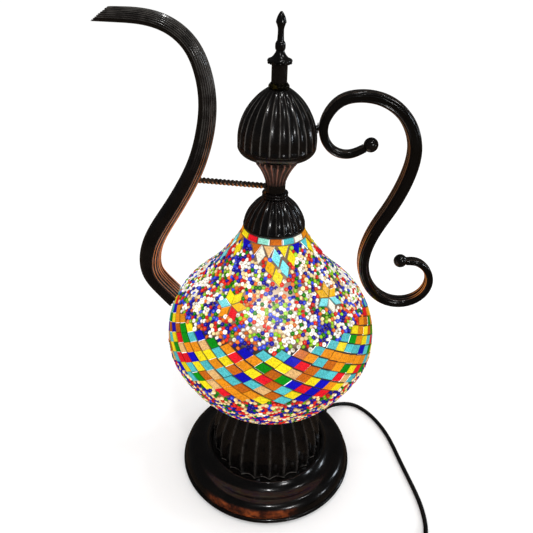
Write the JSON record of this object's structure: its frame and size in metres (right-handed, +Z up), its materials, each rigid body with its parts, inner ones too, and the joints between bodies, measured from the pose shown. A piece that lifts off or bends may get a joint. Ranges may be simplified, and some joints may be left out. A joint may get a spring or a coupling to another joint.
{
  "type": "mosaic glass table lamp",
  "caption": "Table lamp shaped like a lidded ewer: mosaic glass globe on a fluted metal foot, with spout, scroll handle, finial, in-line switch and plug.",
  "frame": {"origin": "centre of the felt foot on the table", "axes": "+Z up along the lamp's axis, the spout points to -X, the handle to +X, the front is -Y"},
  "size_m": [0.2657, 0.2941, 0.3941],
  "materials": {
    "dark_bronze": "glossy dark antique patina with brassy edges",
    "dark_copper": "dark patina worn to reddish copper on the ribs",
    "mosaic": "glass tiles and seed beads in dark grout, lit from inside",
    "globe_glass": "clear blown glass",
    "bulb_glass": "clear",
    "filament": "lit",
    "cast_iron": "rough",
    "zinc_steel": "zinc plated",
    "brass": "satin",
    "black_plastic": "glossy moulded",
    "cord_rubber": "smooth flexible sheath",
    "gasket_rubber": "matte",
    "felt": "dark felt"
  },
  "bodies": {
    "lamp": {"base_felt": "felt", "base_cover_plate": "zinc_steel", "base_saucer": "dark_bronze", "base_weight": "cast_iron", "cord_grommet": "gasket_rubber", "pedestal_dome": "dark_bronze", "globe_seat_gasket": "gasket_rubber", "mosaic_layer": "mosaic", "glass_globe": "globe_glass", "center_rod": "zinc_steel", "lower_nuts": "zinc_steel", "lower_washers": "zinc_steel", "inner_wires": "cord_rubber", "socket_body": "black_plastic", "socket_thread_ring": "brass", "socket_contact": "brass", "harp_frame": "zinc_steel", "cap_gasket": "gasket_rubber", "top_cap": "dark_bronze", "neck_collar": "dark_bronze", "neck_funnel": "dark_copper", "lid_bowl": "dark_bronze", "lid_dome": "dark_bronze", "upper_rod": "zinc_steel", "upper_nuts": "zinc_steel", "finial_collar": "brass", "spout": "dark_bronze", "spout_strut": "dark_bronze", "strut_rivet": "dark_bronze", "handle_bar": "dark_bronze", "handle_end_balls": "dark_bronze", "handle_screw": "zinc_steel", "handle_spacer": "dark_bronze", "power_cord": "cord_rubber", "switch_base": "black_plastic", "switch_cover": "black_plastic", "rocker_pin": "zinc_steel", "switch_contacts": "brass", "plug_body": "black_plastic", "plug_pins": "brass"},
    "bulb": {"bulb_cap": "brass", "bulb_glass": "bulb_glass", "bulb_filament": "filament"},
    "finial": {"finial_stem": "dark_bronze", "finial_flange": "dark_bronze", "finial_spire": "dark_bronze"},
    "rocker": {"switch_rocker": "black_plastic"}
  },
  "joints": [
    {"name": "bulb_turn", "type": "hinge", "parent": "lamp", "child": "bulb", "pos_m": [0, 0, 0.134], "axis": [0, 0, 1], "continuous": true},
    {"name": "finial_turn", "type": "hinge", "parent": "lamp", "child": "finial", "pos_m": [0, 0, 0.355], "axis": [0, 0, 1], "continuous": true},
    {"name": "rocker_tilt", "type": "hinge", "parent": "lamp", "child": "rocker", "pos_m": [0.1346, -0.136, 0.0132], "axis": [1, 0, 0], "range_deg": [-20, 0]}
  ]
}
